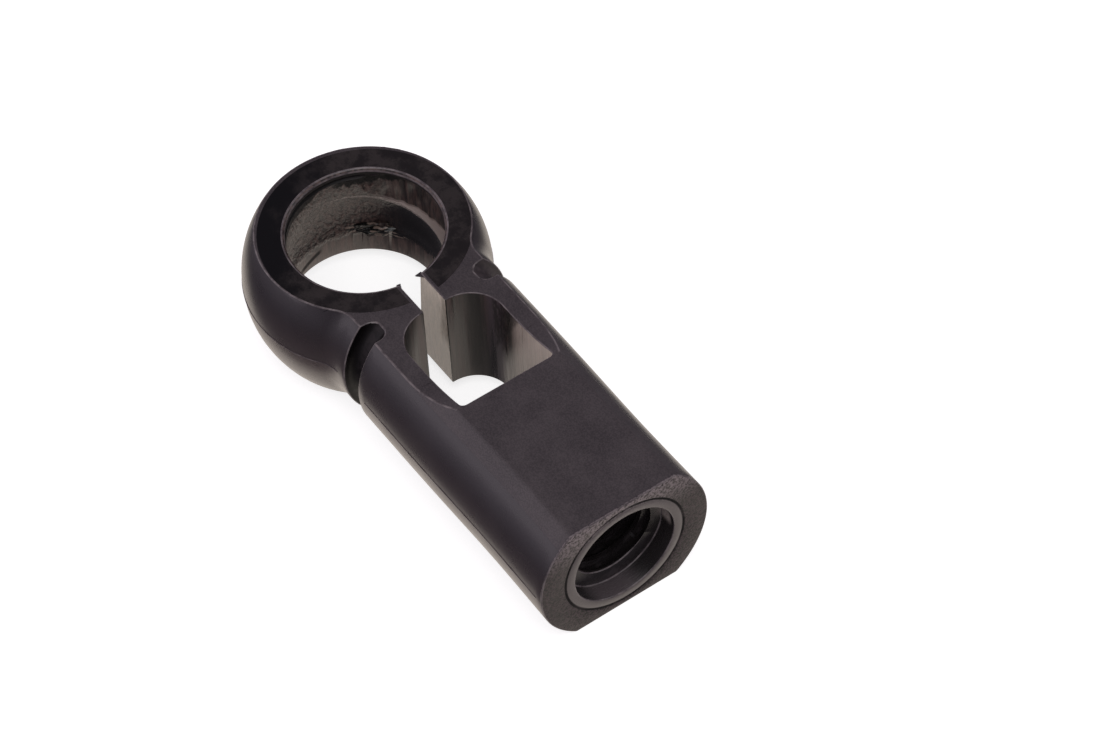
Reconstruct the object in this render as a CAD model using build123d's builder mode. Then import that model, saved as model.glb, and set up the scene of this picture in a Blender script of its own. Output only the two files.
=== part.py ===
from build123d import *
import os

# Slotted ball socket of a plastic angle joint: an eye that snaps over a ball stud, split into a
# window in the shank, and a threaded end for the rod.
# Origin at the ball centre. +X runs along the shank to the rod, +Z along the ball stud.
os.makedirs("parts", exist_ok=True)

reach = 25.8  # ball centre to the end face
shank_r = 5.7
flat_half = 4.5  # spanner flats, 9 across
eye_r = 7.48  # the eye's outside is part of a sphere
eye_x = -0.2  # and is thickest away from the slit
eye_half = 3.8
collar_blend = 2.0

ball_r = 5.0
throat_r = 4.7  # the ball snaps past this
throat_half = (ball_r**2 - throat_r**2) ** 0.5
relief_r = 4.98
mouth_r = 4.86
lip_top, lip_under = eye_half - 0.16, 3.3
face_r = 6.33  # polished ring round the mouth
face_sink = 0.05

slit = 1.5
face_land = 0.2

window_near, window_far = 7.3, 14.8
window_half = 3.15
window_corner = 2.25
window_nick = 0.3
ramp_r = 12.5

clip_near, clip_far = 5.98, 7.5  # groove for the locking clip
clip_r = 5.0
clip_round = 0.42

thread_minor_r = 2.5  # M6 internal, the thread itself is left plain
lead_r, lead_depth = 3.38, 1.2

rise = flat_half - eye_half
ramp_run = (ramp_r**2 - (ramp_r - rise) ** 2) ** 0.5
ramp_start = window_far - ramp_run

with BuildPart() as socket:
    # Turned outside: eye, collar, clip groove and round shank.
    with BuildSketch(Plane.XY) as outside:
        with BuildLine():
            eye_end = eye_x + (eye_r**2 - shank_r**2) ** 0.5
            Line((eye_x - eye_r, 0), (reach, 0))
            Line((reach, 0), (reach, shank_r))
            Line((reach, shank_r), (clip_far, shank_r))
            Line((clip_far, shank_r), (clip_far, clip_r))
            Line((clip_far, clip_r), (clip_near, clip_r))
            Line((clip_near, clip_r), (clip_near, shank_r))
            Line((clip_near, shank_r), (eye_end, shank_r))
            RadiusArc((eye_x - eye_r, 0), (eye_end, shank_r), eye_r)
        make_face()
        corners = outside.vertices()
        fillet(corners.filter_by(lambda v: abs(v.Y - clip_r) < 1e-6), clip_round)
        fillet(corners.filter_by(lambda v: abs(v.X - eye_end) < 1e-6), collar_blend)
    revolve(axis=Axis.X)

    # Side profile: low flats over eye and neck, ramps beside the window, spanner flats.
    with BuildSketch(Plane.XZ) as side:
        with BuildLine():
            run_out = reach + 1
            Line((-eye_r - 1, 0), (-eye_r - 1, eye_half))
            Line((-eye_r - 1, eye_half), (ramp_start, eye_half))
            RadiusArc((ramp_start, eye_half), (window_far, flat_half), -ramp_r)
            Line((window_far, flat_half), (run_out, flat_half))
            Line((run_out, flat_half), (run_out, 0))
            Line((run_out, 0), (-eye_r - 1, 0))
        make_face()
        mirror(about=Plane.XZ)
    extrude(amount=eye_r + 1, both=True, mode=Mode.INTERSECT)

    # Ring of polished face round the mouth, on both sides, stopping short of the slit.
    for end, cut in ((eye_half, -face_sink), (-eye_half, face_sink)):
        with BuildSketch(Plane.XY.offset(end)):
            Circle(face_r)
            Circle(mouth_r, mode=Mode.SUBTRACT)
            with Locations((eye_r / 2, 0)):
                Rectangle(eye_r, slit + 2 * face_land, mode=Mode.SUBTRACT)
        extrude(amount=cut, mode=Mode.SUBTRACT)

    # Ball seat: mouth, lip, relief behind it, spherical seat, plain lower throat.
    with BuildSketch(Plane.XZ) as seat:
        with BuildLine():
            Line((0, -eye_half), (0, eye_half))
            Line((0, eye_half), (mouth_r, eye_half))
            Line((mouth_r, eye_half), (throat_r, lip_top))
            Line((throat_r, lip_top), (throat_r, lip_under + 0.15))
            Line((throat_r, lip_under + 0.15), (relief_r, lip_under))
            Line((relief_r, lip_under), (relief_r, throat_half))
            Line((relief_r, throat_half), (throat_r, throat_half))
            RadiusArc((throat_r, throat_half), (throat_r, -throat_half), ball_r)
            Line((throat_r, -throat_half), (throat_r, -lip_top))
            Line((throat_r, -lip_top), (mouth_r, -eye_half))
            Line((mouth_r, -eye_half), (0, -eye_half))
        make_face()
    revolve(axis=Axis.Z, mode=Mode.SUBTRACT)

    # Slit from the mouth into the window, and the window itself.
    with BuildSketch(Plane.XY) as opening:
        with Locations(((window_near + 0.5) / 2, 0)):
            Rectangle(window_near + 0.5, slit)
        with Locations(((window_near + window_far) / 2, 0)):
            Rectangle(window_far - window_near, 2 * window_half)
        corners = opening.vertices().filter_by(lambda v: abs(v.Y) > window_half - 0.01)
        fillet(corners.group_by(Axis.X)[0], window_corner)
        fillet(corners.group_by(Axis.X)[-1], window_nick)
    extrude(amount=flat_half + 1, both=True, mode=Mode.SUBTRACT)

    # Bore for the rod, from the end face through into the window.
    with BuildSketch(Plane.YZ.offset(reach)):
        Circle(thread_minor_r)
    extrude(amount=window_far - 0.5 - reach, mode=Mode.SUBTRACT)
    with BuildSketch(Plane.YZ.offset(reach)):
        Circle(lead_r)
    extrude(amount=-lead_depth, mode=Mode.SUBTRACT)

socket.part.label = "socket"
export_step(socket.part, "parts/socket.step")
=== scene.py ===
import math

import bmesh
import bpy
from mathutils import Matrix, Vector, noise


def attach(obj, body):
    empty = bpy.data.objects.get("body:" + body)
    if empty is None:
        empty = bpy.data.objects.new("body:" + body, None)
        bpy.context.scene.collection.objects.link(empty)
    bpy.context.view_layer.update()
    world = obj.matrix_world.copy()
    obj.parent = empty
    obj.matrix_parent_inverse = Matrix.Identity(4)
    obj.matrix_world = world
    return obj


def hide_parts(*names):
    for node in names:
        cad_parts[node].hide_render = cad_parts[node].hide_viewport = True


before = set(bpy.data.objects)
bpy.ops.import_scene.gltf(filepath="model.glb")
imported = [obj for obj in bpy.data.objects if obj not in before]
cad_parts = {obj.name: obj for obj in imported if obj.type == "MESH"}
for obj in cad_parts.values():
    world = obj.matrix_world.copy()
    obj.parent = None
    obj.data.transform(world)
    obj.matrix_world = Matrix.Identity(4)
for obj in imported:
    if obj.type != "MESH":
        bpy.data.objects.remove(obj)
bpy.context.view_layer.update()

scene = bpy.context.scene
mm = 0.001


def sweptFrom(bm, vert, centre, degrees, steps, axis=(0, 0, 1)):
    # turns a vertex about a centre, leaving an arc of edges, and returns its far end
    done = bmesh.ops.spin(bm, geom=[vert], cent=centre, axis=axis, dvec=(0, 0, 0),
                          angle=math.radians(degrees), steps=steps, use_merge=False,
                          use_normal_flip=False, use_duplicate=False)
    return [g for g in done["geom_last"] if isinstance(g, bmesh.types.BMVert)][0]


def lineTo(bm, vert, *points):
    # straight edges through the points, returns the new vertices
    made = []
    for point in points:
        nextVert = bm.verts.new(point)
        bm.edges.new((vert, nextVert))
        vert = nextVert
        made.append(nextVert)
    return made


def roundCorners(bm, verts, size, segments):
    bmesh.ops.bevel(bm, geom=verts, affect="VERTICES", offset=size, offset_type="OFFSET",
                    segments=segments, profile=0.5, material=-1, clamp_overlap=False)


def spinRound(bm, axis, steps):
    bmesh.ops.spin(bm, geom=bm.verts[:] + bm.edges[:], cent=(0, 0, 0), axis=axis, dvec=(0, 0, 0),
                   angle=math.tau, steps=steps, use_merge=True, use_normal_flip=False,
                   use_duplicate=False)
    bmesh.ops.remove_doubles(bm, verts=bm.verts[:], dist=1e-4)
    bmesh.ops.recalc_face_normals(bm, faces=bm.faces[:])


def extrudeAlong(bm, way):
    # closes the outline that is in the bmesh and gives it a thickness
    cap = bmesh.ops.contextual_create(bm, geom=bm.edges[:])["faces"]
    done = bmesh.ops.extrude_face_region(bm, geom=cap, use_keep_orig=True)
    bmesh.ops.translate(bm, vec=way, verts=[g for g in done["geom"] if isinstance(g, bmesh.types.BMVert)])
    bmesh.ops.recalc_face_normals(bm, faces=bm.faces[:])


def asObject(bm, name, finish):
    mesh = bpy.data.meshes.new(name)
    bm.to_mesh(mesh)
    bm.free()
    mesh.materials.append(finish)
    piece = bpy.data.objects.new(name, mesh)
    scene.collection.objects.link(piece)
    return piece


def combine(piece, tool, operation):
    boolean = piece.modifiers.new("cut", "BOOLEAN")
    boolean.operation = operation
    boolean.solver = "EXACT"
    boolean.material_mode = "TRANSFER"
    boolean.object = tool
    graph = bpy.context.evaluated_depsgraph_get()
    mesh = bpy.data.meshes.new_from_object(piece.evaluated_get(graph))
    piece.modifiers.clear()
    piece.data = mesh
    bpy.data.objects.remove(tool)


class Wire:
    # one output of a shader tree, so that sums on it read as sums

    def __init__(self, tree, socket):
        self.tree, self.socket = tree, socket

    def node(self, kind, inputs, output=0, **settings):
        made = self.tree.nodes.new("ShaderNode" + kind)
        for name, value in settings.items():
            setattr(made, name, value)
        for name, value in inputs.items():
            if isinstance(value, Wire):
                self.tree.links.new(value.socket, made.inputs[name])
            else:
                made.inputs[name].default_value = value
        return Wire(self.tree, made.outputs[output])

    def maths(self, operation, *others):
        return self.node("Math", dict(enumerate((self, *others))), operation=operation)

    def __add__(self, other):
        return self.maths("ADD", other)

    def __radd__(self, other):
        return self.maths("ADD", other)

    def __sub__(self, other):
        return self.maths("SUBTRACT", other)

    def __rsub__(self, other):
        return self.maths("MULTIPLY_ADD", -1.0, other)

    def __mul__(self, other):
        return self.maths("MULTIPLY", other)

    def __rmul__(self, other):
        return self.maths("MULTIPLY", other)

    def __truediv__(self, other):
        return self.maths("DIVIDE", other)

    def __pow__(self, other):
        return self.maths("POWER", other)

    def __abs__(self):
        return self.maths("ABSOLUTE")

    def ramp(self, low, high):
        # 0 below low, 1 above high, smooth between; the other way round if high is the smaller
        if high < low:
            return 1 - self.ramp(high, low)
        return self.node("MapRange", {"Value": self, "From Min": low, "From Max": high},
                         interpolation_type="SMOOTHSTEP")

    def noise(self, stretch, scale, detail=2.0, rough=0.5):
        # noise over a place, finer along an axis whose stretch is larger
        place = self.node("Mapping", {"Vector": self, "Scale": stretch})
        return place.node("TexNoise", {"Vector": place, "Scale": scale, "Detail": detail, "Roughness": rough})

    def parts(self):
        split = self.node("SeparateXYZ", {"Vector": self})
        outputs = split.socket.node.outputs
        return [Wire(self.tree, outputs[i]) for i in range(3)]

    def mix(self, low, high):
        # a colour between two, by this amount
        return self.node("Mix", {0: self, 6: low, 7: high}, output=2, data_type="RGBA", clamp_factor=True)


def newFinish(name):
    # an empty plastic, with its place in millimetres
    material = bpy.data.materials.new(name)
    material.use_nodes = True
    tree = material.node_tree
    shader = tree.nodes["Principled BSDF"]
    shader.inputs["IOR"].default_value = 1.55
    coordinates = tree.nodes.new("ShaderNodeTexCoord")
    metres = Wire(tree, coordinates.outputs["Object"])
    place = metres.node("VectorMath", {0: metres, 3: 1000.0}, operation="SCALE")
    return material, shader, place


def settle(shader, colour, roughness, relief):
    # joins what varies to the shader; relief is a height in millimetres
    bump = relief.node("Bump", {"Height": relief, "Distance": mm, "Strength": 1.0})
    for wire, name in ((colour, "Base Color"), (roughness, "Roughness"), (bump, "Normal")):
        wire.tree.links.new(wire.socket, shader.inputs[name])


polishedRing = {"radius": 6.33, "landHalf": 0.97}  # round the mouth, and stops short of the slit

mouldedLook = {
    "colour": (0.0165, 0.0122, 0.0160, 1), "dustyAndLit": (0.0225, 0.0175, 0.0212, 1),
    "flatTint": (0.0700, 0.0570, 0.0610, 1), "lowerFloorReflection": (0.0790, 0.0580, 0.0555, 1),
    "endTint": (0.0500, 0.0305, 0.0350, 1), "endDark": (0.0040, 0.0018, 0.0022, 1),
    "endTopLight": (0.300, 0.250, 0.255, 1),
    "polishedTint": (0.0290, 0.0240, 0.0235, 1), "polishedMid": (0.0110, 0.0090, 0.0095, 1),
    "polishedShade": (0.0020, 0.0018, 0.0028, 1),
    "sideRough": 0.28, "flatRough": 0.50, "endRough": 0.55, "ringRough": 0.36, "polishedRough": 0.13,
    "sideGrain": 0.0045, "flatGrain": 0.016, "endGrain": 0.055, "polishedGrain": 0.0004,
}


def mouldedPlastic(look):
    material, shader, place = newFinish("mouldedBlack")
    x, y, z = place.parts()
    high, across = abs(z), abs(y)
    fromEye = (x * x + y * y) ** 0.5
    fromAxis = (y * y + z * z) ** 0.5
    ringRadius, landHalf = polishedRing["radius"], polishedRing["landHalf"]
    land = x.ramp(2, 3) * across.ramp(landHalf + 0.04, landHalf - 0.04)
    polished = high.ramp(3.74, 3.78) * fromEye.ramp(ringRadius + 0.03, ringRadius - 0.03) * (1 - land)
    end = x.ramp(25.68, 25.74)
    pinRing = end * fromAxis.ramp(4.0, 3.9)
    cloud = place.noise((1, 1, 1), 0.45, 2.0, 0.55)
    seam = x.ramp(25.60, 25.66) * abs(fromAxis - 4.04).ramp(0.10, 0.05) * (0.35 + 0.65 * cloud.ramp(0.3, 0.6))
    flat = high.ramp(3.70, 3.78) * (1 - end)

    grain = place.noise((1, 1, 1), 5.5, 3.0, 0.65)
    coarse = place.noise((1, 1, 1), 6.0, 3.0, 0.7)
    speck = place.noise((1, 1, 1), 7.0, 2.0, 0.6)
    smear = place.noise((1, 1, 1), 0.9, 2.0, 0.6)
    fleck = place.noise((1, 1, 1), 13.0, 2.0, 0.6)

    colour = (cloud.ramp(0.35, 0.75) * 0.6 + speck.ramp(0.5, 0.7) * 0.5).mix(look["colour"], look["dustyAndLit"])
    colour = (flat * (0.30 + 0.25 * cloud.ramp(0.3, 0.7) + 0.45 * fleck.ramp(0.38, 0.62))).mix(colour, look["flatTint"])
    belowFlashReflection = z.ramp(0.03, -0.05) * (0.20 + 0.55 * speck.ramp(0.35, 0.65))  # painted reflection of the floor, paler in specks below the flash
    # painted reflection of the floor: the lower half of the eye and shank sides painted paler
    lower = (z.ramp(3.0, 0.1) * 0.42 + belowFlashReflection) * (1 - flat)
    colour = lower.mix(colour, look["lowerFloorReflection"])
    colour = end.mix(colour, coarse.ramp(0.40, 0.60).mix(look["endDark"], look["endTint"]))
    # painted light: the upper part of the end face paler, in coarse patches
    colour = (end * z.ramp(1.5, 4.3) * coarse.ramp(0.35, 0.6) * 0.75).mix(colour, look["endTopLight"])
    colour = (pinRing * 0.85).mix(colour, look["flatTint"])
    colour = seam.mix(colour, (0.0015, 0.0012, 0.0012, 1))
    # painted shade: the polished ring dark towards -x and -y, mottled elsewhere
    gloom = (x + 1.4 * y + 9 * (cloud - 0.5) + 3 * (speck - 0.5)).ramp(-9, -3)
    mottled = (smear + 0.35 * (speck - 0.5)).ramp(0.36, 0.66).mix(look["polishedMid"], look["polishedTint"])
    colour = polished.mix(colour, gloom.mix(look["polishedShade"], mottled))

    sideRough = look["sideRough"]
    rough = sideRough + flat * (look["flatRough"] - sideRough) + end * (look["endRough"] - sideRough)
    rough = rough + seam * 0.4 + pinRing * (look["ringRough"] - look["endRough"]) + 0.10 * (cloud - 0.5)
    rough = rough * (1 - polished) + polished * (look["polishedRough"] + 0.10 * (cloud - 0.5))

    relief = (1 - end) * grain * (look["sideGrain"] + flat * (look["flatGrain"] - look["sideGrain"]))
    relief = relief + end * (1 - 0.85 * pinRing) * look["endGrain"] * coarse
    relief = relief * (1 - polished) + polished * look["polishedGrain"] * grain
    settle(shader, colour, rough, relief)
    return material


grooveLook = {
    "dark": (0.0035, 0.0026, 0.0030, 1), "pale": (0.0260, 0.0200, 0.0225, 1), "dustyAndLit": (0.0560, 0.0440, 0.0480, 1),
    "rough": 0.42, "gloss": 0.18,
}


def groovePlastic(look):
    # the clip groove, with painted shade: darker than the plastic, paler along its floor in dusty patches, and painted
    # light on the +y side, paler still at its tip
    material, shader, place = newFinish("grooveWall")
    x, y, z = place.parts()
    dust = place.noise((1, 1, 1), 2.2, 3.0, 0.6)
    bottom = abs(x - 6.75).ramp(0.55, 0.1)
    # painted shade and light: dark, paler along the floor in dusty patches and towards +y
    lightness = 0.55 * bottom * dust.ramp(0.3, 0.6) + 0.45 * y.ramp(-1, 3) + 0.3 * (dust - 0.5)
    colour = lightness.mix(look["dark"], look["pale"])
    # painted light: the tip of the +y groove, where it runs out on to the flat, paler still
    colour = (y.ramp(2.5, 3.4) * (0.55 + 0.45 * dust.ramp(0.35, 0.6))).mix(colour, look["dustyAndLit"])
    shader.inputs["Specular IOR Level"].default_value = look["gloss"]
    settle(shader, colour, look["rough"] + 0.2 * (dust - 0.5), dust * 0.01)
    return material


edgeHighlightLook = {
    "colour": (0.075, 0.062, 0.066, 1), "pale": (0.165, 0.140, 0.142, 1), "dark": (0.004, 0.0035, 0.0035, 1),
    "rough": 0.30,
}


def edgeHighlightPlastic(look):
    # edges and flash painted paler than the faces as a painted highlight, and dark where the slit meets the window as
    # painted shade
    material, shader, place = newFinish("edgePaintedHighlight")
    x, y, z = place.parts()
    edgeMottle = place.noise((1, 1, 1), 1.6, 3.0, 0.62)
    slitCornerShade = x.ramp(7.0, 7.15) * x.ramp(7.6, 7.45) * abs(y).ramp(1.1, 1.0) * abs(z).ramp(3.85, 3.7)
    # painted highlight: pale in patches along every rounded edge
    colour = edgeMottle.ramp(0.36, 0.66).mix(look["colour"], look["pale"])
    # painted shade: dark where the slit meets the window
    settle(shader, slitCornerShade.mix(colour, look["dark"]), look["rough"] + 0.2 * (edgeMottle - 0.5), edgeMottle * 0.006)
    return material


seatLook = {
    "colour": (0.0130, 0.0070, 0.0065, 1), "bowlShade": (0.0030, 0.0022, 0.0023, 1), "litTan": (0.1250, 0.0790, 0.0680, 1),
    "gloom": (0.0020, 0.0016, 0.0017, 1), "crest": (0.420, 0.350, 0.320, 1), "chipAndPaintedLight": (0.240, 0.180, 0.150, 1),
    "bowlRough": 0.20, "wallRough": 0.40,
}


def seatPlastic(look):
    # the bore: striped relief under the lip and orange peel on one side of the bowl, smooth on the other; painted light
    # on the relief, peel and low throat, painted shade in the bowl and under the lip, and a painted highlight along the
    # crest
    material, shader, place = newFinish("seatWall")
    x, y, z = place.parts()
    stripes = place.noise((1, 1, 0.10), 3.6, 3.0, 0.62)
    peel = place.noise((1, 1, 0.8), 4.2, 2.5, 0.6)
    ragged = place.noise((1, 1, 0.3), 1.7, 3.0, 0.6)
    fine = place.noise((1, 1, 1), 8.0, 2.0, 0.6)
    squiggle = place.noise((0.8, 0.8, 3.2), 1.9, 1.5, 0.5)
    ledge = z - 0.38 + 0.297 * x + 0.12 * y  # height over the leaning ledge of the relief
    right = (0.5 * x + y).ramp(0.2, 3.2)
    seated = (z + 1.2 * (ragged - 0.5)).ramp(-2.2, -1.9) * z.ramp(3.4, 3.3)
    pitted = seated * (1 - right)
    # painted shade: the bowl dark on the right side, below the ledge
    bowlShade = ledge.ramp(0.0, -0.08) * seated * right
    striped = ledge.ramp(0.0, 0.06) * seated * right
    along = 0.5 * x + y
    # painted shadow: dark under the lip, ragged
    overhangShadow = seated * (z + 1.2 * (ragged - 0.5)).ramp(2.55, 2.75) * x.ramp(1, -1)
    overhangShadow = overhangShadow * along.ramp(-1.9, -1.2) * along.ramp(4.2, 2.4)
    # painted highlight: a pale line along the leaning ledge, and a thin one further left
    crest = abs(ledge - 0.02).ramp(0.20, 0.06) * right * (x + 0.3 * y).ramp(4.2, 2.6)
    hairlineHighlight = abs(ledge + 0.10 + 0.15 * (ragged - 0.5)).ramp(0.16, 0.06) * (0.4 + 0.6 * fine.ramp(0.35, 0.55))
    hairlineHighlight = hairlineHighlight * along.ramp(-2.4, -1.2) * x.ramp(-1, -2)
    crest = crest.maths("MAXIMUM", hairlineHighlight)
    # painted light: the throat paler low down, near the bottom opening
    low = z.ramp(-2.0, -2.5)
    # painted light: the striped relief and orange peel pale tan in patches
    patches = stripes.ramp(0.40, 0.62) * (1 - pitted) + peel.ramp(0.38, 0.64) * pitted
    colour = (patches * 0.7 + 0.3 * low).mix(look["colour"], look["litTan"])
    colour = bowlShade.mix(colour, look["bowlShade"])
    colour = crest.mix(colour, look["crest"])
    colour = overhangShadow.mix(colour, look["gloom"])
    fromMark = x * -0.616 - y * 0.788  # round the wall from the gate mark
    deeper = 0.5 * fromMark.ramp(2.8, 3.7) * x.ramp(0, -1)
    lipShade = (z + deeper + 0.5 * (ragged - 0.5)).ramp(3.05, 3.2) * z.ramp(3.66, 3.6) * x.ramp(3.4, 1.5)
    colour = (lipShade * 0.9).mix(colour, look["gloom"])
    gouge = abs(z + 2.85 + 0.5 * (fromMark - 4.0)).ramp(0.26, 0.10) * abs(fromMark - 4.0).ramp(0.70, 0.40)
    gouge = gouge * x.ramp(0, -1)
    colour = (gouge * 0.9).mix(colour, look["gloom"])
    markReach = (fromMark / 1.9) ** 2 + ((z + 1.75 - 0.12 * fromMark) / 0.5) ** 2 + 1.6 * (ragged - 0.5)
    mark = markReach.ramp(1.1, 0.7) * x.ramp(0, -1)
    # a dark gate mark, with painted highlight in pale squiggles
    colour = mark.mix(colour, squiggle.ramp(0.55, 0.62).mix(look["gloom"], look["chipAndPaintedLight"]))
    rough = look["wallRough"] + bowlShade * (look["bowlRough"] - look["wallRough"]) + 0.16 * (stripes - 0.5)
    rough = rough + 0.40 * overhangShadow.maths("MAXIMUM", lipShade).maths("MAXIMUM", gouge)
    relief = striped * stripes * 0.070 + pitted * peel * 0.110 + (1 - seated) * ragged * 0.03
    settle(shader, colour, rough, relief + fine * 0.0015)
    return material


slitReflectionLook = {"colour": (0.300, 0.255, 0.210, 1), "pale": (0.520, 0.440, 0.360, 1), "rough": 0.17, "relief": 0.006}


def slitReflectionPlastic(look):
    # painted reflection of the pale floor: the whole slit face pale, streaked along the drag
    material, shader, place = newFinish("slitFace")
    drag = place.noise((1, 1, 0.25), 3.0, 3.0, 0.6)
    fine = place.noise((1, 1, 1), 9.0, 2.0, 0.6)
    colour = drag.ramp(0.35, 0.7).mix(look["colour"], look["pale"])
    settle(shader, colour, look["rough"] + 0.12 * (drag - 0.5), drag * look["relief"] + fine * 0.001)
    return material


windowLook = {
    "colour": (0.0070, 0.0040, 0.0045, 1), "worn": (0.0740, 0.0470, 0.0440, 1),
    "farWallReflection": (0.520, 0.435, 0.372, 1), "highlightBand": (0.0720, 0.0540, 0.0640, 1),
    "gloom": (0.0040, 0.0025, 0.0040, 1),
    "rough": 0.30, "gloomRough": 0.55, "streak": 0.030,
}


def windowPlastic(look):
    # the core drew upwards: streaks along its way; painted shade in the corner, a painted shadow wedge, a painted
    # highlight band beside the corner and a painted reflection on the far wall
    material, shader, place = newFinish("windowWall")
    x, y, z = place.parts()
    streaks = place.noise((1, 1, 0.05), 2.2, 3.0, 0.62)
    fine = place.noise((1, 1, 0.2), 9.0, 2.0, 0.6)
    wavy = x + 0.5 * (streaks - 0.5)
    # painted shade: dark in the curved corner
    corner = (0.35 * wavy.ramp(7.30, 7.40) + 0.65 * wavy.ramp(7.42, 7.75)) * wavy.ramp(8.45, 7.95)
    corner = corner * abs(y).ramp(0.8, 1.9)
    # painted shadow: a dark wedge past the corner
    wedgeShadow = (wavy - 0.55 * z).ramp(9.35, 9.0) * wavy.ramp(8.6, 8.9)
    gloom = corner * (0.75 + 0.25 * z.ramp(-4.0, -2.5))
    gloom = gloom + 0.75 * wedgeShadow * z.ramp(-1.5, 0) * (fine + streaks).ramp(0.8, 1.05)
    # painted reflection: the far wall pale, like the slit face
    farWallReflection = wavy.ramp(9.9, 11.2) * (wavy - 0.35 * z).ramp(8.8, 9.8)
    colour = streaks.ramp(0.40, 0.64).mix(look["colour"], look["worn"])
    farWallReflectionColour = (0.5 + fine * 0.5 * streaks.ramp(0.3, 0.6)).mix(look["worn"], look["farWallReflection"])
    colour = farWallReflection.mix(colour, farWallReflectionColour)
    # painted highlight: a paler band beside the corner
    highlightBand = wavy.ramp(8.2, 8.7) * wavy.ramp(9.9, 9.2) * streaks.ramp(0.3, 0.5)
    colour = highlightBand.mix(colour, look["highlightBand"])
    colour = gloom.mix(colour, look["gloom"])
    rough = look["rough"] + gloom * (look["gloomRough"] - look["rough"]) + 0.22 * (streaks - 0.5)
    settle(shader, colour, rough, streaks * look["streak"] + fine * 0.002)
    return material


threadLook = {
    "colour": (0.016, 0.0135, 0.0140, 1), "chipAndPaintedLight": (0.075, 0.063, 0.066, 1), "glint": (0.300, 0.260, 0.240, 1),
    "rough": 0.27,
}


def threadPlastic(look):
    # turned marks, with painted light on the lower side of the lead-in and a painted glint on it
    material, shader, place = newFinish("threadWall")
    x, y, z = place.parts()
    turned = place.noise((2.6, 0.5, 0.5), 2.2, 2.0, 0.6)
    fine = place.noise((1, 1, 1), 8.0, 2.0, 0.6)
    leadIn = x.ramp(24.5, 24.7)
    lit = leadIn * (0.6 * y - z).ramp(0.4, 2.4) * y.ramp(1.6, 0.2)
    glint = leadIn * z.ramp(-0.5, 0.1) * y.ramp(0.6, 1.4) * x.ramp(25.6, 25.3)
    colour = (turned.ramp(0.5, 0.75) * 0.4 * (1 - leadIn) + lit).mix(look["colour"], look["chipAndPaintedLight"])
    colour = glint.mix(colour, look["glint"])
    settle(shader, colour, look["rough"] + 0.2 * (turned - 0.5), (1 - leadIn) * turned * 0.008 + fine * 0.001)
    return material


mouldedFinish = mouldedPlastic(mouldedLook)
grooveFinish = groovePlastic(grooveLook)
edgeHighlightFinish = edgeHighlightPlastic(edgeHighlightLook)
slitReflectionFinish = slitReflectionPlastic(slitReflectionLook)
windowFinish = windowPlastic(windowLook)
seatFinish = seatPlastic(seatLook)
threadFinish = threadPlastic(threadLook)
print("finishes made")

body = {
    "reach": 25.8, "shankRadius": 5.72, "flatHalf": 4.5,
    "eyeRadius": 7.45, "eyeCentre": -0.2, "eyeHalf": 3.8, "collarBlend": 2.0, "rampRadius": 12.5,
    "grooveNear": 5.95, "grooveFar": 7.5, "grooveRadius": 5.0, "grooveRound": 0.5,
    "grooveTip": 3.1, "grooveTipRound": 0.62,
    "sink": 0.09, "sinkAt": 20.5, "sinkWidth": 5.0,  # the thick end drew in a little as it cooled
    "windowNear": 7.3, "windowFar": 14.8, "windowHalf": 3.15, "windowCorner": 2.25, "windowNick": 0.3, "slit": 1.5,
    "seam": 4.04, "seamMouth": 0.11, "seamFloor": 0.03, "seamDepth": 0.05,  # round the thread pin, on the end face
    "turns": 288, "outsideTurns": 108,  # strips wide enough beside the flats for their edges to be rounded
}


def outsideProfile(bm):
    # half outline of eye, collar and shank in the parting plane, from the pole of the eye
    # returns its far end
    eye, shank, blend = body["eyeRadius"], body["shankRadius"], body["collarBlend"]
    blendY = shank + blend
    blendX = math.sqrt((eye + blend) ** 2 - blendY ** 2)
    eyeEnd = math.degrees(math.atan2(blendY, blendX))
    pole = bm.verts.new((body["eyeCentre"] - eye, 0, 0))
    onEye = sweptFrom(bm, pole, (body["eyeCentre"], 0, 0), eyeEnd - 180, 84)
    onCollar = sweptFrom(bm, onEye, (body["eyeCentre"] + blendX, blendY, 0), 90 - eyeEnd, 10)
    far = lineTo(bm, onCollar, (body["grooveFar"], shank, 0))
    run = body["reach"] - body["grooveFar"]
    for i in range(1, 31):
        x = body["grooveFar"] + run * i / 30
        sink = body["sink"] * math.exp(-((x - body["sinkAt"]) / body["sinkWidth"]) ** 2)
        far = lineTo(bm, far[-1], (x, shank - sink, 0))
    return far[-1]


def clipGroove():
    # a turned ring, kept only where its rounded ends leave it below the flats
    bm = bmesh.new()
    near = bm.verts.new((body["grooveNear"], 7, 0))
    ring = [near] + lineTo(bm, near, (body["grooveNear"] + 0.1, body["grooveRadius"], 0),
                           (body["grooveFar"], body["grooveRadius"], 0), (body["grooveFar"], 7, 0))
    bm.edges.new((ring[-1], near))
    roundCorners(bm, ring[1:3], body["grooveRound"], 8)
    spinRound(bm, (1, 0, 0), body["turns"])
    groove = asObject(bm, "clipGroove", grooveFinish)
    bm = bmesh.new()
    first, last = body["grooveNear"] - 0.02, body["grooveFar"] + 0.02
    for side in (1, -1):
        near = bm.verts.new((first, side * 8, -6))
        plan = [near] + lineTo(bm, near, (first, side * body["grooveTip"], -6),
                               (last, side * body["grooveTip"], -6), (last, side * 8, -6))
        bm.edges.new((plan[-1], near))
        roundCorners(bm, plan[1:3], body["grooveTipRound"], 10)
    extrudeAlong(bm, (0, 0, 12))
    combine(groove, asObject(bm, "grooveEnds", grooveFinish), "INTERSECT")
    return groove


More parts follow.
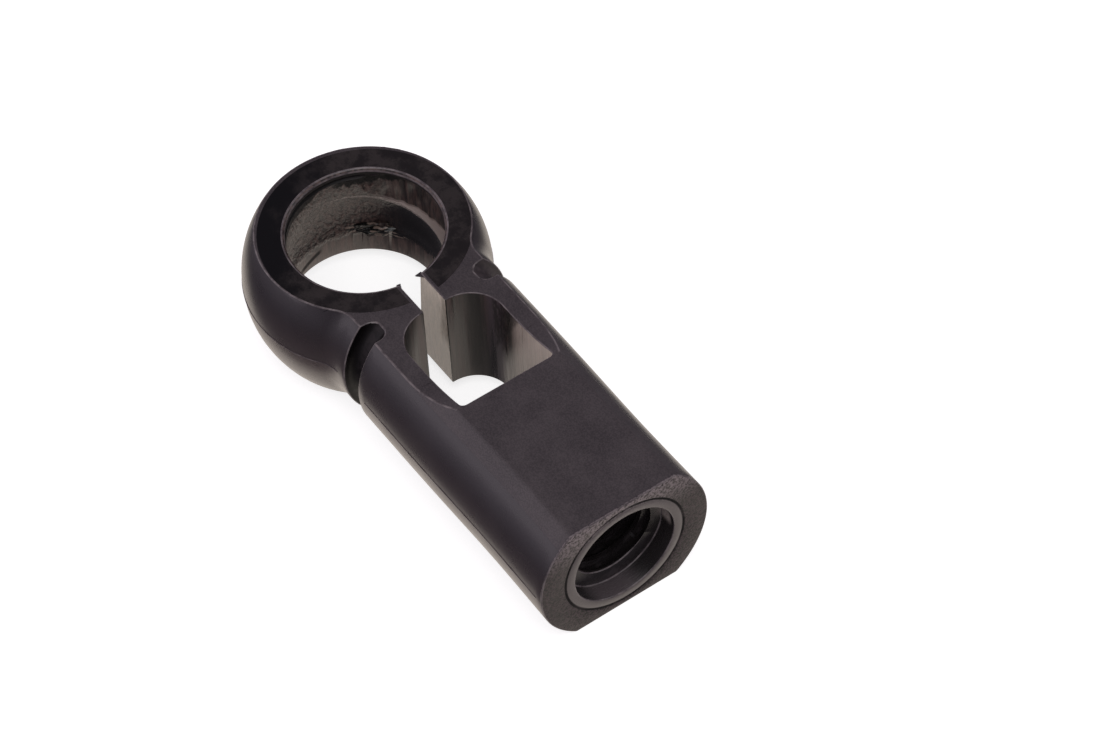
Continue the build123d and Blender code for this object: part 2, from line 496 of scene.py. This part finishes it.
bm = bmesh.new()
shoulder = outsideProfile(bm)
reach, seam, seamBottom = body["reach"], body["seam"], body["reach"] - body["seamDepth"]
lineTo(bm, shoulder, (reach, seam + body["seamMouth"], 0), (seamBottom, seam + body["seamFloor"], 0),
       (seamBottom, seam - body["seamFloor"], 0), (reach, seam - body["seamMouth"], 0), (reach, 0, 0))
spinRound(bm, (1, 0, 0), body["outsideTurns"])
socketBody = asObject(bm, "socketBody", mouldedFinish)
print("outside turned", len(socketBody.data.polygons))

# side profile: low flats over eye and neck, ramps beside the window, spanner flats
bm = bmesh.new()
rise = body["flatHalf"] - body["eyeHalf"]
rampRun = math.sqrt(body["rampRadius"] ** 2 - (body["rampRadius"] - rise) ** 2)
rampStart = body["windowFar"] - rampRun
rampTurn = math.degrees(math.asin(rampRun / body["rampRadius"]))
width = 9
start = bm.verts.new((-9, -width, 0))
corners = lineTo(bm, start, (-9, -width, body["eyeHalf"]), (rampStart, -width, body["eyeHalf"]))
rampTop = sweptFrom(bm, corners[-1], (rampStart, -width, body["eyeHalf"] + body["rampRadius"]), -rampTurn, 24,
                    axis=(0, 1, 0))
lineTo(bm, rampTop, (body["reach"] + 2, -width, body["flatHalf"]), (body["reach"] + 2, -width, 0))
bmesh.ops.mirror(bm, geom=bm.verts[:] + bm.edges[:], axis="Z", merge_dist=1e-4)
bmesh.ops.remove_doubles(bm, verts=bm.verts[:], dist=1e-4)
extrudeAlong(bm, (0, 2 * width, 0))
combine(socketBody, asObject(bm, "sideProfile", mouldedFinish), "INTERSECT")
combine(socketBody, clipGroove(), "DIFFERENCE")
print("flats and clip groove cut", len(socketBody.data.polygons))

seat = {
    "ballRadius": 5.0, "throat": 4.7, "relief": 4.35, "reliefTop": 3.25, "lipBottom": 3.45, "mouth": 4.86,
    "landHalf": 1.15, "landReach": 3.6, "landHigh": 4.66, "landLow": 3.98, "landEnd": 5.4,
    "reliefShift": (0.11, 1.04, 0), "reliefRagged": 0.035, "reliefLean": (0.297, 0.12), "reliefFloor": 0.38,
    "lowerLean": (0.085, 0.055),  # the lower core pin leant a little
}

# upper core: mouth chamfer and lip
bm = bmesh.new()
throatHalf = math.sqrt(seat["ballRadius"] ** 2 - seat["throat"] ** 2)
top = bm.verts.new((0, 0, 6))
lineTo(bm, top, (seat["mouth"], 0, 6), (seat["mouth"], 0, body["eyeHalf"]),
       (seat["throat"], 0, body["eyeHalf"] - seat["mouth"] + seat["throat"]),
       (seat["throat"], 0, throatHalf), (0, 0, throatHalf))
spinRound(bm, (0, 0, 1), body["turns"])
combine(socketBody, asObject(bm, "upperCore", seatFinish), "DIFFERENCE")

# ragged relief torn behind the lip as the ball core sprang out, down to a leaning ledge
bm = bmesh.new()
centre = bm.verts.new((0, 0, seat["lipBottom"]))
far = lineTo(bm, centre, (seat["relief"] - 0.25, 0, seat["lipBottom"]), (seat["relief"], 0, seat["reliefTop"]))
for i in range(1, 17):
    far = lineTo(bm, far[-1], (seat["relief"], 0, seat["reliefTop"] - 0.28 * i))
lineTo(bm, far[-1], (0, 0, far[-1].co.z))
spinRound(bm, (0, 0, 1), body["turns"])
for vert in bm.verts:
    if vert.co.xy.length > 1:
        drag = noise.noise(Vector((vert.co.x * 2.6, vert.co.y * 2.6, vert.co.z * 0.8)))
        vert.co.xy *= 1 + seat["reliefRagged"] * drag
bmesh.ops.translate(bm, vec=seat["reliefShift"], verts=bm.verts[:])
reliefCore = asObject(bm, "relief", seatFinish)
bm = bmesh.new()
bmesh.ops.create_cube(bm, size=30)
bmesh.ops.translate(bm, vec=(0, 0, -15), verts=bm.verts[:])
leanTo = Vector((*seat["reliefLean"], 1)).normalized()
leanTurn = Vector((0, 0, 1)).rotation_difference(leanTo).to_matrix()
bmesh.ops.rotate(bm, cent=(0, 0, 0), matrix=leanTurn, verts=bm.verts[:])
bmesh.ops.translate(bm, vec=(0, 0, seat["reliefFloor"]), verts=bm.verts[:])
combine(reliefCore, asObject(bm, "reliefFloor", seatFinish), "DIFFERENCE")
combine(socketBody, reliefCore, "DIFFERENCE")

# narrow undercut behind the lip, on the side where the relief ran out
undercut = {
    "depth": 0.17, "top": 3.39, "topInside": 3.34, "bottomInside": 3.14, "bottom": 2.92, "turns": 180,
    "endTurn": -22, "endAt": (9.6, -3.6, 0),
}
bm = bmesh.new()
mouthRadius, bottomRadius = seat["throat"] - 0.2, seat["throat"] + undercut["depth"]
near = bm.verts.new((mouthRadius, 0, undercut["top"]))
section = lineTo(bm, near, (bottomRadius, 0, undercut["topInside"]),
                 (bottomRadius, 0, undercut["bottomInside"]), (mouthRadius, 0, undercut["bottom"]))
bm.edges.new((section[-1], near))
spinRound(bm, (0, 0, 1), undercut["turns"])
# its walls take the groove finish, with its painted shade
undercutCore = asObject(bm, "undercut", grooveFinish)
bm = bmesh.new()
bmesh.ops.create_cube(bm, size=20)
endTurn = Matrix.Rotation(math.radians(undercut["endTurn"]), 3, "Z")
bmesh.ops.rotate(bm, cent=(0, 0, 0), matrix=endTurn, verts=bm.verts[:])
bmesh.ops.translate(bm, vec=undercut["endAt"], verts=bm.verts[:])
combine(undercutCore, asObject(bm, "undercutEnd", grooveFinish), "DIFFERENCE")
combine(socketBody, undercutCore, "DIFFERENCE")
print("relief torn", len(socketBody.data.polygons))

# lower core: the ball seat and the plain throat under it
bm = bmesh.new()
seatTurn = 2 * math.degrees(math.asin(throatHalf / seat["ballRadius"]))
top = bm.verts.new((0, 0, throatHalf + 0.4))
crest = lineTo(bm, top, (seat["throat"] - 0.1, 0, throatHalf + 0.4), (seat["throat"], 0, throatHalf))
below = sweptFrom(bm, crest[-1], (0, 0, 0), seatTurn, 40, axis=(0, 1, 0))
lineTo(bm, below, (seat["throat"], 0, seat["mouth"] - seat["throat"] - body["eyeHalf"]),
       (seat["mouth"], 0, -body["eyeHalf"]), (seat["mouth"], 0, -6), (0, 0, -6))
spinRound(bm, (0, 0, 1), body["turns"])
lean = Matrix.Identity(4)
lean[0][2], lean[1][2] = seat["lowerLean"]
bmesh.ops.transform(bm, matrix=lean, space=Matrix.Translation((0, 0, -throatHalf)), verts=bm.verts[:])
combine(socketBody, asObject(bm, "lowerCore", seatFinish), "DIFFERENCE")

# straight lands either side of the slit, where the core split
bm = bmesh.new()
low = bm.verts.new((seat["landLow"], -seat["landHalf"], -seat["landReach"]))
landOutline = lineTo(bm, low, (seat["landHigh"], -seat["landHalf"], seat["landReach"]),
                     (seat["landEnd"], -seat["landHalf"], seat["landReach"]),
                     (seat["landEnd"], -seat["landHalf"], -seat["landReach"]))
bm.edges.new((landOutline[-1], low))
extrudeAlong(bm, (0, 2 * seat["landHalf"], 0))
combine(socketBody, asObject(bm, "slitLand", seatFinish), "UNION")
print("seat cut", len(socketBody.data.polygons))

# window
bm = bmesh.new()
near = bm.verts.new((body["windowNear"], -body["windowHalf"], -7))
outline = lineTo(bm, near, (body["windowNear"], body["windowHalf"], -7),
                 (body["windowFar"], body["windowHalf"], -7), (body["windowFar"], -body["windowHalf"], -7))
bm.edges.new((outline[-1], near))
roundCorners(bm, [near, outline[0]], body["windowCorner"], 24)
roundCorners(bm, outline[1:], body["windowNick"], 6)
extrudeAlong(bm, (0, 0, 14))
combine(socketBody, asObject(bm, "windowCore", windowFinish), "DIFFERENCE")

# slit
bm = bmesh.new()
bmesh.ops.create_cube(bm, size=1)
bmesh.ops.scale(bm, vec=(body["windowNear"] + 0.5 - 2, body["slit"], 14), verts=bm.verts[:])
bmesh.ops.translate(bm, vec=((body["windowNear"] + 0.5 + 2) / 2, 0, 0), verts=bm.verts[:])
combine(socketBody, asObject(bm, "slitBlade", slitReflectionFinish), "DIFFERENCE")
print("window and slit cut", len(socketBody.data.polygons))

# rod bore: lead-in, then a cut thread turned out with a tap
thread = {"minor": 2.5, "lead": 3.38, "leadDepth": 1.2, "root": 3.06, "pitch": 1.0, "chamfer": 0.14,
          "rootFlat": 0.14, "crestFlat": 0.26, "steps": 96, "turns": 160}
bm = bmesh.new()
far = bm.verts.new((body["windowFar"] - 0.5, 0, 0))
lineTo(bm, far, (body["windowFar"] - 0.5, thread["minor"], 0),
       (body["reach"] - thread["leadDepth"] - thread["chamfer"], thread["minor"], 0),
       (body["reach"] - thread["leadDepth"], thread["lead"], 0),
       (body["reach"] + 1, thread["lead"], 0), (body["reach"] + 1, 0, 0))
spinRound(bm, (1, 0, 0), thread["turns"])
combine(socketBody, asObject(bm, "rodCore", threadFinish), "DIFFERENCE")

# the faces round the bore split into sectors, and slivers left by the cuts merged, so the rounding finds clean edges
edges = {
    "round": 0.06, "panelRound": 0.11, "sharpest": 34.5, "segments": 2,
    "mergeOutside": 0.03, "merge": 0.015, "sliver": 0.004,
}
bm = bmesh.new()
bm.from_mesh(socketBody.data)
for turn in range(0, 180, 15):
    across = Matrix.Rotation(math.radians(turn), 3, "Z") @ Vector((0, 1, 0))
    bmesh.ops.bisect_plane(bm, geom=bm.verts[:] + bm.edges[:] + bm.faces[:], dist=1e-4,
                           plane_co=(0, 0, 0), plane_no=across, clear_inner=False, clear_outer=False)
outside = [vert for vert in bm.verts if vert.co.xy.length > 5.6 or abs(vert.co.z) > 3.5]
bmesh.ops.remove_doubles(bm, verts=outside, dist=edges["mergeOutside"])
bmesh.ops.remove_doubles(bm, verts=bm.verts[:], dist=edges["merge"])
bmesh.ops.dissolve_degenerate(bm, dist=edges["sliver"], edges=bm.edges[:])
bm.to_mesh(socketBody.data)
bm.free()
socketBody.data.materials.append(edgeHighlightFinish)

# rounds the sharp edges, the long edges of the spanner flats more, and leaves those of the torn relief
bm = bmesh.new()
bm.from_mesh(socketBody.data)
roundingWeight = bm.edges.layers.float.new("bevel_weight_edge")
for edge in bm.edges:
    middle = (edge.verts[0].co + edge.verts[1].co) / 2
    inBore = middle.xy.length < 5.6 and -3 < middle.z < seat["lipBottom"] + 0.01
    torn = inBore and (middle.y > 1.2 or middle.x < 2.5)
    if not torn and edge.calc_face_angle(0) > math.radians(edges["sharpest"]):
        alongPanel = abs(edge.verts[0].co.x - edge.verts[1].co.x) > 0.05 and all(
            abs(abs(vert.co.z) - body["flatHalf"]) < 0.01 and abs(vert.co.y) > 3.3
            and vert.co.x > body["windowFar"] - 0.01 for vert in edge.verts)
        plain = edges["round"] / edges["panelRound"]
        more = (1 - plain) * min(1, max(0, (middle.x - 15) / 3)) if alongPanel else 0
        edge[roundingWeight] = plain + more
bm.to_mesh(socketBody.data)
bm.free()
rounding = socketBody.modifiers.new("edges", "BEVEL")
rounding.material = len(socketBody.data.materials) - 1
rounding.width = edges["panelRound"]
rounding.segments = edges["segments"]
rounding.limit_method = "WEIGHT"
rounding.use_clamp_overlap = False
graph = bpy.context.evaluated_depsgraph_get()
mesh = bpy.data.meshes.new_from_object(socketBody.evaluated_get(graph))
socketBody.modifiers.clear()
socketBody.data = mesh
eyeMiddle = Vector((body["eyeCentre"], 0, 0))
for vert in mesh.vertices:  # back on to the faces where the rounding ran over
    fromEye = vert.co - eyeMiddle
    if vert.co.x < 0 and fromEye.length > body["eyeRadius"]:
        vert.co = eyeMiddle + fromEye.normalized() * body["eyeRadius"]
    limit = body["eyeHalf"] if vert.co.x < 4 else body["flatHalf"]
    vert.co.z = max(-limit, min(limit, vert.co.z))
for face in mesh.polygons:
    if body["windowFar"] < face.center.x < 25.7 and abs(face.center.y) > 2.9 and abs(face.center.z) > 4.2:
        face.material_index = 0  # the panel rounding keeps the moulded finish, without the painted edge highlight
print("edges rounded", len(mesh.polygons))

# ragged lip left at the mouth where it opens into the slit
lipTip = {"root": 0.85, "point": {1: 0.42, -1: 0.6}}  # how far from the middle, on either side
for side in (1, -1):
    bm = bmesh.new()
    root, tip = lipTip["root"], lipTip["point"][side]
    for corner in ((4.62, root, 3.74), (5.25, root, 3.76), (4.62, root, 3.42),
                   (4.66, tip, 3.73), (4.68, tip + 0.02, 3.64), (4.9, tip + 0.2, 3.75)):
        bm.verts.new((corner[0], side * corner[1], corner[2]))
    bmesh.ops.convex_hull(bm, input=bm.verts[:])
    bmesh.ops.recalc_face_normals(bm, faces=bm.faces[:])
    combine(socketBody, asObject(bm, "lipTip", mouldedFinish), "UNION")
print("lip tips added", len(socketBody.data.polygons))

# torn gate vestige low on the wall
vestige = {"turn": 142, "tilt": -8, "height": -1.75, "reach": 5.02, "size": (2.0, 0.36, 0.46), "torn": 0.72}
bm = bmesh.new()
bmesh.ops.create_icosphere(bm, subdivisions=4, radius=1)
for vert in bm.verts:
    tear = noise.noise(vert.co * 3.1) + 0.5 * noise.noise(vert.co * 7.3)
    vert.co *= 1 + vestige["torn"] * tear
bmesh.ops.scale(bm, vec=vestige["size"], verts=bm.verts[:])
vestigeTilt = Matrix.Rotation(math.radians(vestige["tilt"]), 3, "Y")
vestigeTurn = Matrix.Rotation(math.radians(vestige["turn"] - 90), 3, "Z")
bmesh.ops.rotate(bm, cent=(0, 0, 0), matrix=vestigeTilt, verts=bm.verts[:])
bmesh.ops.translate(bm, vec=(0, vestige["reach"], vestige["height"]), verts=bm.verts[:])
bmesh.ops.rotate(bm, cent=(0, 0, 0), matrix=vestigeTurn, verts=bm.verts[:])
combine(socketBody, asObject(bm, "gateVestige", seatFinish), "UNION")
print("gate vestige added", len(socketBody.data.polygons))

# the tap that cuts the thread
bm = bmesh.new()
threadLength = body["reach"] - thread["leadDepth"] - body["windowFar"]
turnsOfThread = math.ceil(threadLength / thread["pitch"]) + 1
start = body["windowFar"] - 1.2
point = bm.verts.new((start, 0, 0))
flank = (thread["pitch"] - thread["rootFlat"] - thread["crestFlat"]) / 2
tapInner = thread["minor"] - 0.04
for i in range(turnsOfThread):
    x = start + i * thread["pitch"]
    point = lineTo(bm, point, (x, tapInner, 0), (x + thread["crestFlat"], tapInner, 0),
                   (x + thread["crestFlat"] + flank, thread["root"], 0),
                   (x + thread["crestFlat"] + flank + thread["rootFlat"], thread["root"], 0))[-1]
tapEnd = start + turnsOfThread * thread["pitch"]
lineTo(bm, point, (tapEnd, tapInner, 0), (tapEnd, 0, 0))
bmesh.ops.spin(bm, geom=bm.verts[:] + bm.edges[:], cent=(0, 0, 0), axis=(1, 0, 0),
               dvec=(thread["pitch"] / thread["steps"], 0, 0), angle=math.tau, steps=thread["steps"],
               use_merge=False, use_normal_flip=False, use_duplicate=False)
bmesh.ops.remove_doubles(bm, verts=bm.verts[:], dist=1e-4)
bmesh.ops.edgenet_fill(bm, edges=[edge for edge in bm.edges if edge.is_boundary])
bmesh.ops.recalc_face_normals(bm, faces=bm.faces[:])
combine(socketBody, asObject(bm, "tap", threadFinish), "DIFFERENCE")
print("thread cut", len(socketBody.data.polygons))

# flash along the parting plane: thin uneven plates round the eye and along the shank
flash = {"high": 0.025, "uneven": 0.7, "half": 0.028, "drop": 0.005, "rooted": 0.3}
bm = bmesh.new()
outsideProfile(bm)
side = [vert.co.copy() for vert in bm.verts]
bm.free()
other = [Vector((point.x, -point.y, 0)) for point in reversed(side)]
eyeEnd, shankStart, shankEnd = body["grooveNear"] - 0.1, body["grooveFar"] + 0.1, body["reach"] - 0.1
lines = ([point for point in other + side[1:] if point.x < eyeEnd],
         [point for point in side if shankStart < point.x < shankEnd],
         [point for point in other if shankStart < point.x < shankEnd])
for line in lines:
    bm = bmesh.new()
    lowered = Vector((0, 0, flash["half"] + flash["drop"]))
    outer, inner = [], []
    for i, point in enumerate(line):
        along = (line[min(i + 1, len(line) - 1)] - line[max(i - 1, 0)]).normalized()
        outward = Vector((-along.y, along.x, 0))
        high = flash["high"] * (1 + flash["uneven"] * noise.noise(point * 0.9))
        outer.append(bm.verts.new(point + outward * high - lowered))
        inner.append(bm.verts.new(point - outward * flash["rooted"] - lowered))
    ring = outer + inner[::-1]
    for i in range(len(ring)):
        bm.edges.new((ring[i - 1], ring[i]))
    extrudeAlong(bm, (0, 0, 2 * flash["half"]))
    # the flash takes the edge finish, painted pale as a highlight
    combine(socketBody, asObject(bm, "flash", edgeHighlightFinish), "UNION")
print("flash added", len(socketBody.data.polygons))

# to metres, shaded smooth apart from its corners, and every small hole from the cuts closed
socketBody.data.transform(Matrix.Scale(mm, 4))
socketBody.data.update()
socketBody.data.polygons.foreach_set("use_smooth", [True] * len(socketBody.data.polygons))
for face in socketBody.data.polygons:
    if max(abs(part) for part in face.normal) > 0.99998:
        face.use_smooth = False
socketBody.data.set_sharp_from_angle(angle=math.radians(50))
bm = bmesh.new()
bm.from_mesh(socketBody.data)
for edge in bm.edges:
    if len(edge.link_faces) == 2 and edge.calc_face_angle(0) > math.radians(12):
        first, second = edge.link_faces
        if 1 in (first.material_index, second.material_index) and first.material_index != second.material_index:
            edge.smooth = False
bmesh.ops.holes_fill(bm, edges=[edge for edge in bm.edges if edge.is_boundary], sides=0)
print("edges left open", len([edge for edge in bm.edges if not edge.is_manifold]), "faces", len(bm.faces))
bm.to_mesh(socketBody.data)
bm.free()
evenShade = socketBody.modifiers.new("evenShade", "WEIGHTED_NORMAL")
evenShade.weight = 100
evenShade.keep_sharp = True
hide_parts("socket")
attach(socketBody, "root")

stage = {
    "floorZ": -4.52 * mm, "floorSize": 2.0, "floorColour": (0.62, 0.61, 0.60, 1), "floorSeen": 0.75,
    "skyColour": (0.97, 0.88, 1.0, 1), "skyLevel": 0.36,
    # what the gloss finds round it: a dim room, a white card below that ends in front, a paler horizon
    "roomShine": 0.11, "horizonShine": 0.52,
    "cardShine": 1.0, "cardColour": (1.0, 0.90, 0.81, 1), "cardFront": (-0.58, -0.44),
}
bm = bmesh.new()
bmesh.ops.create_grid(bm, x_segments=1, y_segments=1, size=stage["floorSize"] / 2)
bmesh.ops.translate(bm, vec=(0, 0, stage["floorZ"]), verts=bm.verts[:])
floorFinish = bpy.data.materials.new("paleFloor")
floorFinish.use_nodes = True
floorFinish.cycles.emission_sampling = "NONE"
tree = floorFinish.node_tree
tree.nodes.clear()
rays = tree.nodes.new("ShaderNodeLightPath")
seen = Wire(tree, rays.outputs["Is Camera Ray"]).maths("MAXIMUM", Wire(tree, rays.outputs["Is Transmission Ray"]))
mirrored = Wire(tree, rays.outputs["Is Glossy Ray"])
paint = seen.node("BsdfDiffuse", {"Color": stage["floorColour"]})
white = seen.node("Emission", {"Strength": seen * stage["floorSeen"]})
lit = seen.node("AddShader", {0: paint, 1: white})
through = seen.node("BsdfTransparent", {})
both = seen.node("MixShader", {0: mirrored, 1: lit, 2: through})
out = tree.nodes.new("ShaderNodeOutputMaterial")
tree.links.new(both.socket, out.inputs["Surface"])
floor = asObject(bm, "floor", floorFinish)

world = bpy.data.worlds.new("studio")
scene.world = world
world.use_nodes = True
world.cycles.sampling_method = "NONE"
tree = world.node_tree
tree.nodes.clear()
rays = tree.nodes.new("ShaderNodeLightPath")
seen = Wire(tree, rays.outputs["Is Camera Ray"]).maths("MAXIMUM", Wire(tree, rays.outputs["Is Transmission Ray"]))
mirrored = Wire(tree, rays.outputs["Is Glossy Ray"])
x, y, z = Wire(tree, tree.nodes.new("ShaderNodeTexCoord").outputs["Generated"]).parts()
card = z.ramp(-0.50, -0.62) * (y / abs(z).maths("MAXIMUM", 0.05)).ramp(*stage["cardFront"])
horizon = z.ramp(-0.45, -0.02) * z.ramp(0.5, 0.1) * (x + 0.6 * y).ramp(0.3, -0.5)
level = stage["roomShine"] + horizon * (stage["horizonShine"] - stage["roomShine"])
strength = stage["skyLevel"] + mirrored * (level - stage["skyLevel"])
sky = seen.node("Background", {"Color": stage["skyColour"], "Strength": strength})
cardSky = seen.node("Background", {"Color": stage["cardColour"], "Strength": stage["cardShine"]})
around = seen.node("MixShader", {0: card * mirrored, 1: sky, 2: cardSky})
white = seen.node("Background", {"Color": (1, 1, 1, 1), "Strength": 1.0})
both = seen.node("MixShader", {0: seen, 1: around, 2: white})
out = tree.nodes.new("ShaderNodeOutputWorld")
tree.links.new(both.socket, out.inputs["Surface"])


def softbox(name, azimuth, elevation, distance, size, level, colour=(1, 1, 1)):
    # level is how bright the panel itself looks, 1 is white
    lamp = bpy.data.lights.new(name, "AREA")
    lamp.shape = "RECTANGLE"
    lamp.size, lamp.size_y = size
    lamp.energy = level * math.pi * size[0] * size[1]
    lamp.color = colour
    lampObject = bpy.data.objects.new(name, lamp)
    a, e = math.radians(azimuth), math.radians(elevation)
    back = Vector((math.cos(a) * math.cos(e), math.sin(a) * math.cos(e), math.sin(e)))
    lampObject.location = Vector((0.009, 0, 0)) + back * distance
    lampObject.rotation_euler = back.to_track_quat("Z", "Y").to_euler()
    scene.collection.objects.link(lampObject)


softbox("frontLeftPanel", -125, 22, 0.6, (0.8, 0.45), 0.80, (1.0, 0.90, 0.98))
softbox("topPanel", -30, 68, 0.6, (0.5, 0.5), 1.6)
softbox("rightPanel", 60, 25, 0.6, (0.5, 0.4), 0.8)

view = {
    "azimuth": 57.559, "elevation": 51.067, "roll": -3.5, "aim": (0.0189, 0, 0.0097),
    "distance": 0.2036, "lens": 123.0,
}
camera = bpy.data.cameras.new("mainCamera")
camera.lens = view["lens"]
camera.sensor_width = 36
camera.clip_start = 0.01
cameraObject = bpy.data.objects.new("mainCamera", camera)
a, e = math.radians(view["azimuth"]), math.radians(view["elevation"])
back = Vector((math.sin(a) * math.cos(e), -math.cos(a) * math.cos(e), math.sin(e)))
turn = back.to_track_quat("Z", "Y").to_matrix() @ Matrix.Rotation(math.radians(view["roll"]), 3, "Z")
cameraObject.matrix_world = Matrix.Translation(Vector(view["aim"]) + back * view["distance"]) @ turn.to_4x4()
scene.collection.objects.link(cameraObject)
scene.camera = cameraObject
scene.view_settings.view_transform = "Standard"
print("stage, lights and camera set")
